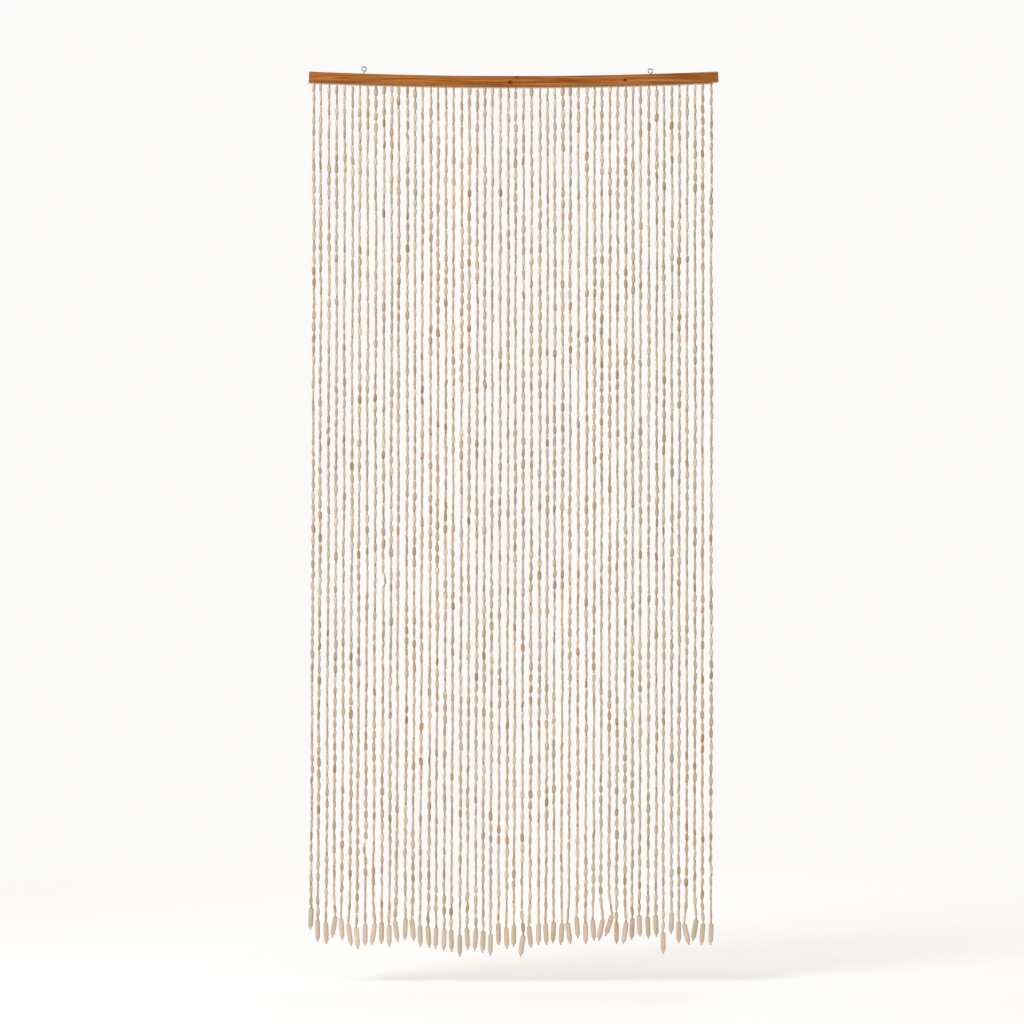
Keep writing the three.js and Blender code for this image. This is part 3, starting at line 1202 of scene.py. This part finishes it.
@dataclass
class Strand:
    """One cord with its beads, from the hole in the rail to the knot under the pendant."""

    number: int
    path: StrandPath
    threading: Threading
    patterns: dict[BeadKind, Pattern]
    sizes: dict[BeadKind, Bead]
    rng: np.random.Generator = field(init=False)

    def __post_init__(self) -> None:
        """Seeds the strand's own chances."""
        self.rng = np.random.default_rng(SEED + self.number)

    def own_slips(self) -> list[tuple[Slip, float]]:
        """Returns the places where this strand has caught, each with its distance from the top."""
        top = self.path.beads[0, 2]
        return [(slip, top - slip.height) for slip in self.threading.slips if slip.strand == self.number]

    def line_up(self) -> tuple[np.ndarray, np.ndarray, np.ndarray]:
        """Fills the strand with ovals and spacers in turn.

        Returns:
            Which items are ovals, their lengths and the gap above each.
        """
        rules = self.threading
        room = self.path.runs[-1]
        pitch = sum(size.length for size in self.sizes.values()) + sum(rules.gap)
        start = int(self.rng.random() < rules.spacer_first)
        count = 2 * round(room / pitch) + start
        ovals = (np.arange(count) + start) % 2 == 0
        natural = np.where(ovals, self.sizes[BeadKind.OVAL].length, self.sizes[BeadKind.SPACER].length)
        play = self.rng.normal(size=count).clip(-PLAY_LIMIT, PLAY_LIMIT)
        lengths = natural * (1 + rules.length_play * play)
        bare = self.rng.random(count) < rules.bare_chance
        gaps = np.where(bare, self.rng.uniform(*rules.bare_gap, count), self.rng.uniform(*rules.gap, count))
        for slip, depth in self.own_slips():
            tops = np.cumsum(lengths + gaps) - lengths
            gaps[np.argmin(np.abs(tops - depth))] += slip.bare
        return ovals, lengths * (room - gaps.sum()) / lengths.sum(), gaps

    def push(self, runs: np.ndarray) -> np.ndarray:
        """Finds how far the strand strays from its line: a slow sway, and where it has caught.

        Args:
            runs: distances from the strand's top.

        Returns:
            The offset at each distance.
        """
        rules = self.threading
        share = runs / self.path.runs[-1]
        held = np.clip(np.minimum(share, 1 - share) * rules.still_parts, 0, 1)
        away = np.zeros((len(runs), 3))
        for axis, size in enumerate(rules.sway_axes):
            for waves in rules.sway_waves:
                phase = self.rng.uniform(0, 2 * math.pi)
                strength = size * self.rng.uniform(*rules.sway_strength)
                away[:, axis] += strength * np.sin(waves * 2 * math.pi * share + phase) / math.sqrt(waves)
        away *= rules.sway * held[:, None]
        for slip, depth in self.own_slips():
            away[:, 0] += slip.aside * np.exp(-(((runs - depth) / rules.slip_reach) ** 4))
        return away

    def lay(self) -> Laid:
        """Works out where each bead lies.

        Returns:
            The middles, ends and lengths of the beads.
        """
        ovals, lengths, gaps = self.line_up()
        feet = np.cumsum(lengths + gaps)
        tops = feet - lengths
        runs = np.concatenate([tops, feet])
        ends = self.path.at(runs) + self.push(runs)
        top, foot = ends[: len(ovals)], ends[len(ovals) :]
        return Laid(ovals, (top + foot) / 2, top, foot, lengths)

    def turns(self, count: int) -> np.ndarray:
        """Turns flat beads about the strand, each near the last one's angle, with fresh starts now and then.

        Args:
            count: how many beads there are.

        Returns:
            An angle for each, in radians.
        """
        rules = self.threading
        angle = self.rng.normal() * rules.face_on_spread
        angles = []
        for _ in range(count):
            if self.rng.random() < rules.turn_chance:
                angle = self.rng.normal() * rules.face_on_spread
                if self.rng.random() < rules.edge_on_chance:
                    angle = rules.edge_on + self.rng.normal() * rules.turn_step
            angle += self.rng.normal() * rules.turn_step
            angles.append(math.radians(angle))
        return np.array(angles)

    def marks(self, count: int) -> np.ndarray:
        """Picks a tone and a shade for each bead.

        Args:
            count: how many beads there are.

        Returns:
            Tone and shade, one row a bead.
        """
        rules = self.threading
        chances, lows, highs = np.array(rules.tone_chances).T
        picks = self.rng.choice(len(chances), count, p=chances / chances.sum())
        tone = lows[picks] + (highs - lows)[picks] * self.rng.random(count)
        shade = self.rng.normal(1.0, rules.shade_spread, count).clip(*rules.shade_range)
        return np.stack([tone, shade], -1)

    def add_beads(self, heap: Heap, laid: Laid, kind: BeadKind) -> None:
        """Copies one kind of bead to its places.

        Args:
            heap: what the copies are added to.
            laid: where the beads lie.
            kind: which beads are added.
        """
        rules = self.threading
        pattern = self.patterns[kind]
        size = self.sizes[kind]
        chosen = laid.ovals == (kind is BeadKind.OVAL)
        count = int(chosen.sum())
        along = laid.tops[chosen] - laid.feet[chosen]
        along += self.rng.normal(size=along.shape) * math.radians(rules.tilt) * size.length
        along /= np.linalg.norm(along, axis=1)[:, None]
        angle = self.turns(count)
        face = np.stack([np.cos(angle), np.sin(angle), np.zeros(count)], -1)
        deep = np.cross(along, face)
        deep /= np.linalg.norm(deep, axis=1)[:, None]
        axes = np.stack([np.cross(deep, along), deep, along], 1)
        widths = 1 + rules.width_play * self.rng.normal(size=(count, 2)).clip(-PLAY_LIMIT, PLAY_LIMIT)
        scales = np.column_stack([widths, laid.lengths[chosen] / size.length])
        local = pattern.points * scales[:, None]
        middles = laid.middles[chosen] + self.rng.normal(size=(count, 3)) * (rules.offset, rules.offset, 0)
        places = np.einsum("cpk,ckj->cpj", local, axes) + middles[:, None]
        mark = np.zeros_like(places)
        mark[..., :2] = self.marks(count)[:, None]
        # Nearness to an end, which the finish turns into painted shade where the beads meet
        mark[..., 2] = np.abs(pattern.points[:, 2]) / (size.length / 2)
        grain = local + self.rng.uniform(0, GRAIN_SHIFT, (count, 1, 3))
        heap.add(pattern, places, grain, mark, 0)

    def add_cord(self, heap: Heap, laid: Laid, root: np.ndarray) -> None:
        """Runs the cord from the rail through all the beads and the pendant.

        Args:
            heap: what the cord is added to.
            laid: where the beads lie.
            root: where the cord starts, inside the rail.
        """
        ends = np.stack([laid.tops, laid.feet], 1).reshape(-1, 3)
        line = np.concatenate([root[None], ends, self.path.knot[[0, -1]]])
        pattern, grain = Pattern.tube(line, self.threading.cord_radius, self.threading.cord_sides)
        heap.add(pattern, pattern.points[None], grain[None], np.zeros(3), 1)

    def build(
        self, root: np.ndarray, knot: "Knot", finishes: Sequence[bpy.types.Material]
    ) -> bpy.types.Object:
        """Threads the strand and dresses it.

        Args:
            root: where the cord starts, inside the rail.
            knot: the knot under the pendant.
            finishes: the bead's wood and the cord.

        Returns:
            The strand.
        """
        heap = Heap()
        laid = self.lay()
        for kind in BeadKind:
            self.add_beads(heap, laid, kind)
        self.add_cord(heap, laid, root)
        knot.add(heap, self.path, self.rng)
        piece = heap.piece(f"strand_{self.number:02d}", finishes)
        finish_piece(piece, "bead_wood", "strands")
        return piece


@dataclass
class Knot:
    """The overhand knot that holds a pendant up, with its cut tail."""

    radius: float = 1.6 * MM
    height: float = 1.2 * MM
    cord_radius: float = 0.9 * MM
    steps: int = 40
    sides: int = 6
    tail: float = 1.2 * MM
    tail_lean: float = 0.25

    def add(self, heap: Heap, path: StrandPath, rng: np.random.Generator) -> None:
        """Ties the knot on a strand.

        Args:
            heap: what the knot is added to.
            path: the strand's line.
            rng: the strand's own chances.
        """
        turn = np.linspace(0, 2 * math.pi, self.steps, endpoint=False) + rng.uniform(0, 2 * math.pi)
        wide = self.radius / 3
        local = np.stack(
            [
                wide * (np.sin(turn) + 2 * np.sin(2 * turn)),
                wide * (np.cos(turn) - 2 * np.cos(2 * turn)),
                -self.height * np.sin(3 * turn),
            ],
            -1,
        )
        middle = (path.knot[0] + path.knot[-1]) / 2
        loop, grain = Pattern.tube(middle + local, self.cord_radius, self.sides, closed=True)
        heap.add(loop, loop.points[None], grain[None], np.zeros(3), 1)
        aside = np.array([rng.normal(), rng.normal(), 0.0]) * self.tail_lean
        cut = middle + (path.axis + aside) * (self.height + self.tail)
        end, grain = Pattern.tube(np.stack([middle, cut]), self.cord_radius, self.sides)
        heap.add(end, end.points[None], grain[None], np.zeros(3), 1)


@dataclass
class Pendant:
    """The long bead at a strand's foot: flat on top, slightly full, and cut to a blunt cone at its nose."""

    # Distance below the top, and the radius there
    outline: tuple[tuple[float, float], ...] = (
        (0.0, 4.7 * MM),
        (0.7 * MM, 5.2 * MM),
        (8 * MM, 5.4 * MM),
        (20 * MM, 5.55 * MM),
        (31 * MM, 5.5 * MM),
        (37.4 * MM, 5.2 * MM),
        (42 * MM, 3.1 * MM),
    )
    bore: float = 1.7 * MM
    bore_depth: float = 4 * MM
    sides: int = 16
    smooth_angle: float = 22.0
    width_play: float = 0.03
    tone_shape: tuple[float, float] = (1.6, 2.2)
    shade_spread: float = 0.05
    shade_range: tuple[float, float] = (0.88, 1.1)

    @property
    def length(self) -> float:
        """Returns the pendant's length."""
        return self.outline[-1][0]

    def model(self) -> bpy.types.Object:
        """Models the pendant hanging down from the origin.

        Returns:
            The object that the pendants are copied from.
        """
        widest = max(radius for _, radius in self.outline)
        bench = Bench(
            bpy.ops.mesh.primitive_cylinder_add,
            "pendant_model",
            vertices=self.sides,
            radius=widest,
            depth=self.length,
            location=(0, 0, -self.length / 2),
        )
        bench.cut([-depth for depth, _ in self.outline[1:-1]], (0, 0, 1))
        for depth, radius in self.outline:
            bench.scale_ring(-depth, radius / widest, radius / widest)
        bench.sink(0.0, self.outline[0][1] - self.bore, -self.bore_depth)
        bench.sink(-self.length, self.outline[-1][1] - self.bore, self.bore_depth)
        return bench.done(self.smooth_angle)

    def hang(
        self, model: bpy.types.Object, number: int, path: StrandPath, finish: bpy.types.Material
    ) -> bpy.types.Object:
        """Hangs a copy of the model where its node is.

        Args:
            model: the pendant that is copied.
            number: the strand's number.
            path: the strand's line.
            finish: the pendant's wood.

        Returns:
            The pendant.
        """
        rng = np.random.default_rng(PENDANT_SEED + number)
        mesh = model.data.copy()
        piece = bpy.data.objects.new(f"pendant_bead_{number:02d}", mesh)
        bpy.context.scene.collection.objects.link(piece)
        local = mesh_points(mesh)
        node = f"pendant_{number:02d}"
        points = mesh_points(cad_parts[node].data)
        reach = (points - path.beads[-1]) @ path.axis
        top = path.beads[-1] + path.axis * reach.min()
        width = 1 + self.width_play * float(np.clip(rng.normal(), -PLAY_LIMIT, PLAY_LIMIT))
        hang = Vector(path.axis).to_track_quat("-Z", "Y").to_matrix().to_4x4()
        stretch = Matrix.Diagonal((width, width, (reach.max() - reach.min()) / self.length, 1))
        roll = Matrix.Rotation(rng.uniform(0, 2 * math.pi), 4, "Z")
        mesh.transform(Matrix.Translation(top) @ hang @ roll @ stretch)
        mark = np.zeros_like(local)
        mark[:, 0] = rng.beta(*self.tone_shape)
        mark[:, 1] = np.clip(rng.normal(1.0, self.shade_spread), *self.shade_range)
        # The bore's points count as an end, so the finish darkens them with painted shade in the hole
        inner = np.hypot(local[:, 0], local[:, 1]) < self.bore + TOUCH
        mark[:, 2] = np.where(inner, 1.0, 0.0)
        write_attribute(mesh, GRAIN, local + rng.uniform(0, GRAIN_SHIFT, 3))
        write_attribute(mesh, MARK, mark)
        mesh.materials.clear()
        mesh.materials.append(finish)
        finish_piece(piece, "pendant_wood", node)
        return piece


@dataclass
class HeaderCord:
    """The cord sewn under the rail: a stitch between strands, which goes up into the hole at each one."""

    radius: float = 1.75 * MM
    sides: int = 10
    drop: float = 1.95 * MM
    rise: float = 3.6 * MM
    dip_half: float = 3.3 * MM
    top_half: float = 1.1 * MM
    sag: float = 0.35 * MM
    # Where a stitch sags lowest, in half dips from its strand
    sag_place: float = 2.5

    def build(
        self, rail: Rail, strands: Sequence[StrandPath], finish: bpy.types.Material
    ) -> bpy.types.Object:
        """Sews the cord from end to end.

        Args:
            rail: the rail that it is sewn under.
            strands: the strands, at whose tops it goes up.
            finish: the cord.

        Returns:
            The header cord.
        """
        side_half = (self.dip_half + self.top_half) / 2
        side_rise = self.rise / 3
        dip = (
            (-self.dip_half, -self.drop),
            (-side_half, side_rise),
            (-self.top_half, self.rise),
            (self.top_half, self.rise),
            (side_half, side_rise),
            (self.dip_half, -self.drop),
            (self.sag_place * self.dip_half, -self.drop - self.sag),
        )
        stitches = [(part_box("strands")[0].x, -self.drop)]
        for path in strands:
            middle = float(path.beads[0, 0])
            stitches += [(middle + aside, lift) for aside, lift in dip]
        along, above = np.array(stitches[:-1]).T
        deep = np.full_like(along, rail.middle_depth)
        line = np.stack([along, deep, rail.line(along, -rail.height / 2) + above], -1)
        pattern, grain = Pattern.tube(line, self.radius, self.sides)
        heap = Heap()
        heap.add(pattern, pattern.points[None], grain[None], np.zeros(3), 0)
        piece = heap.piece("header_cord", [finish])
        finish_piece(piece, None, "strands")
        return piece


@dataclass
class StrandReader:
    """Reads the strands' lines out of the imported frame."""

    header_reach: float = 2.8 * MM
    top_gap: float = 0.9 * MM
    knot_rings: int = 4
    merge: float = TOUCH / 4
    level_digits: int = 5

    def read(self, rail: Rail) -> list[StrandPath]:
        """Cuts a copy of the strands free of their header and takes the middles of their rings.

        Args:
            rail: the rail, under whose edge the header runs.

        Returns:
            The strands' lines, from left to right.
        """
        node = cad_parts["strands"]
        copy = bpy.data.objects.new("strand_lines", node.data.copy())
        bpy.context.scene.collection.objects.link(copy)
        choose(copy)
        bpy.ops.object.mode_set(mode="EDIT")
        bpy.ops.mesh.select_all(action="SELECT")
        bpy.ops.mesh.remove_doubles(threshold=self.merge)
        bpy.ops.mesh.select_mode(type="VERT")
        bpy.ops.mesh.select_all(action="DESELECT")
        mesh = bmesh.from_edit_mesh(copy.data)
        for point in mesh.verts:
            under = rail.line(point.co.x, -rail.height / 2)
            point.select_set(bool(point.co.z > under - self.header_reach))
        mesh.select_flush_mode()
        bmesh.update_edit_mesh(copy.data)
        bpy.ops.mesh.delete(type="VERT")
        bpy.ops.mesh.select_all(action="SELECT")
        bpy.ops.mesh.separate(type="LOOSE")
        bpy.ops.object.mode_set(mode="OBJECT")
        loose = list(bpy.context.selected_objects)
        paths = [self.rings(piece, rail) for piece in loose]
        for piece in loose:
            discard(piece)
        return sorted(paths, key=lambda path: path.beads[0, 0])

    def rings(self, piece: bpy.types.Object, rail: Rail) -> StrandPath:
        """Takes the middle of each level ring of one strand, and sets its top close under the rail.

        Args:
            piece: the strand's own mesh.
            rail: the rail that it hangs from.

        Returns:
            The strand's line.
        """
        points = mesh_points(piece.data).astype(float)
        levels = np.unique(points[:, 2].round(self.level_digits))[::-1]
        middles = [points[np.abs(points[:, 2] - level) < TOUCH].mean(0) for level in levels]
        middles[0][2] = rail.line(middles[0][0], -rail.height / 2) - self.top_gap
        return StrandPath(np.array(middles[: -self.knot_rings]), np.array(middles[-self.knot_rings :]))


@dataclass(frozen=True)
class Lamp:
    """One soft square lamp: where it hangs, its power in watts and the side of its square."""

    name: str
    place: tuple[float, float, float]
    power: float
    size: float


@dataclass
class Studio:
    """A pale floor under the hem, soft lights all round and the camera that faces the curtain."""

    distance: float = 7.0
    view_middle: tuple[float, float] = (-3.6 * MM, -946.7 * MM)
    view_height: float = 2251.8 * MM
    sensor: float = 36.0
    floor_drop: float = 62 * MM
    floor_radius: float = 2.6
    floor_solid: float = 0.9
    floor_sides: int = 96
    floor_colour: Colour = screen(250, 249, 247)
    sky: Colour = screen(251, 250, 249)
    sky_strength: float = 0.6
    lamps: tuple[Lamp, ...] = (
        Lamp("key", (-3.6, -3.0, 1.5), power=160, size=2.0),
        Lamp("fill", (3.0, -3.8, -0.4), power=30, size=2.6),
        Lamp("back", (1.2, 3.4, 1.2), power=55, size=2.4),
        Lamp("top", (0.0, -0.6, 2.4), power=16, size=2.4),
    )

    def camera(self, plane: float) -> None:
        """Sets the camera level and square to the curtain.

        Args:
            plane: Y of the plane in which the strands hang.
        """
        data = bpy.data.cameras.new("camera")
        data.sensor_width = self.sensor
        data.lens = self.sensor * self.distance / self.view_height
        camera = bpy.data.objects.new("camera", data)
        camera.location = (self.view_middle[0], plane - self.distance, self.view_middle[1])
        camera.rotation_euler = (math.pi / 2, 0, 0)
        bpy.context.scene.collection.objects.link(camera)
        bpy.context.scene.camera = camera

    def light(self, lamp: Lamp) -> None:
        """Hangs one lamp, which points at the curtain's middle.

        Args:
            lamp: the lamp.
        """
        data = bpy.data.lights.new(lamp.name, "AREA")
        data.energy = lamp.power
        data.size = lamp.size
        hung = bpy.data.objects.new(lamp.name, data)
        hung.location = lamp.place
        aim = Vector((0, 0, self.view_middle[1])) - Vector(lamp.place)
        hung.rotation_euler = aim.to_track_quat("-Z", "Y").to_euler()
        bpy.context.scene.collection.objects.link(hung)

    def world(self) -> None:
        """Surrounds the scene with pale light."""
        world = bpy.data.worlds.new("studio")
        world.use_nodes = True
        bpy.context.scene.world = world
        tree = Tree(world.node_tree)
        back = world.node_tree.nodes["Background"]
        seen = tree.node("ShaderNodeLightPath").outputs["Is Camera Ray"]
        back.inputs["Color"].default_value = self.sky
        tree.feed(back.inputs["Strength"], tree.spread(seen, 0.0, 1.0, self.sky_strength, 1.0))

    def floor(self) -> None:
        """Lays a round floor that fades out at its rim."""
        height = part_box("strands")[0].z - self.floor_drop
        bench = Bench(
            bpy.ops.mesh.primitive_circle_add,
            "floor",
            vertices=self.floor_sides,
            radius=self.floor_radius,
            fill_type="NGON",
            location=(0, 0, height),
        )
        floor = bench.done(SHARP_ANGLE)
        material, tree, shader = new_material("floor_paper", Roughness=0.9, Specular_IOR_Level=0.1)
        place = tree.node("ShaderNodeTexCoord").outputs["Object"]
        flat = tree.vector("MULTIPLY", place, (1.0, 1.0, 0.0))
        reach = tree.node("ShaderNodeVectorMath", {0: flat}, operation="LENGTH").outputs["Value"]
        tree.feed(shader["Alpha"], tree.spread(reach, self.floor_solid, self.floor_radius, 1.0, 0.0))
        shader["Base Color"].default_value = self.floor_colour
        floor.data.materials.append(material)

    def build(self, plane: float) -> None:
        """Sets up the whole studio.

        Args:
            plane: Y of the plane in which the strands hang.
        """
        self.camera(plane)
        self.world()
        self.floor()
        for lamp in self.lamps:
            self.light(lamp)
        bpy.context.scene.view_settings.view_transform = "Standard"


BEAD_WOOD = PaleWood(
    "bead_wood",
    (
        (0.0, screen(190, 170, 136)),
        (0.2, screen(202, 179, 148)),
        (0.4, screen(221, 199, 173)),
        (0.6, screen(214, 185, 162)),
        (0.78, screen(194, 157, 131)),
        (0.9, screen(199, 157, 110)),
        (1.0, screen(175, 139, 96)),
    ),
    streak=screen(192, 160, 127),
    across=520.0,
    along=36.0,
    bump=0.0,
)
PENDANT_WOOD = PaleWood(
    "pendant_wood",
    (
        (0.0, screen(203, 185, 156)),
        (0.3, screen(214, 194, 173)),
        (0.65, screen(212, 188, 171)),
        (0.85, screen(205, 178, 153)),
        (1.0, screen(197, 165, 134)),
    ),
    streak=screen(189, 161, 136),
    across=620.0,
    along=24.0,
    bump=0.2,
)


def main() -> None:
    """Builds the curtain's pieces in order and reports each one."""
    logging.basicConfig(level=logging.INFO)
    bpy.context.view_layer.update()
    rail = Rail()
    paths = StrandReader().read(rail)
    Studio().build(rail.middle_depth)
    grain = wood_grain()
    twist = cord_twist()
    sewn = CottonCord("sewn_cord", bump=0.7).material(twist)
    thread = CottonCord("bead_cord", bump=0.0).material(twist)
    beads = BEAD_WOOD.material(grain)
    rail.build(paths, StainedPine().material(grain, knot_in_wood()))
    metal = NickelWire().material()
    for side in Side:
        ScrewEye(side).build(metal)
    HeaderCord().build(rail, paths, sewn)
    sizes = {bead.kind: bead for bead in (oval_bead(), spacer_bead())}
    patterns = {kind: bead.pattern() for kind, bead in sizes.items()}
    threading = Threading()
    knot = Knot()
    pendant = Pendant()
    pendant_wood = PENDANT_WOOD.material(grain)
    model = pendant.model()
    for number, path in enumerate(paths, 1):
        top = path.beads[0]
        root = np.array([top[0], top[1], rail.line(top[0], -rail.height / 2) + rail.hole_depth / 2])
        Strand(number, path, threading, patterns, sizes).build(root, knot, (beads, thread))
        pendant.hang(model, number, path, pendant_wood)
    discard(model)


if __name__ == "__main__":
    main()
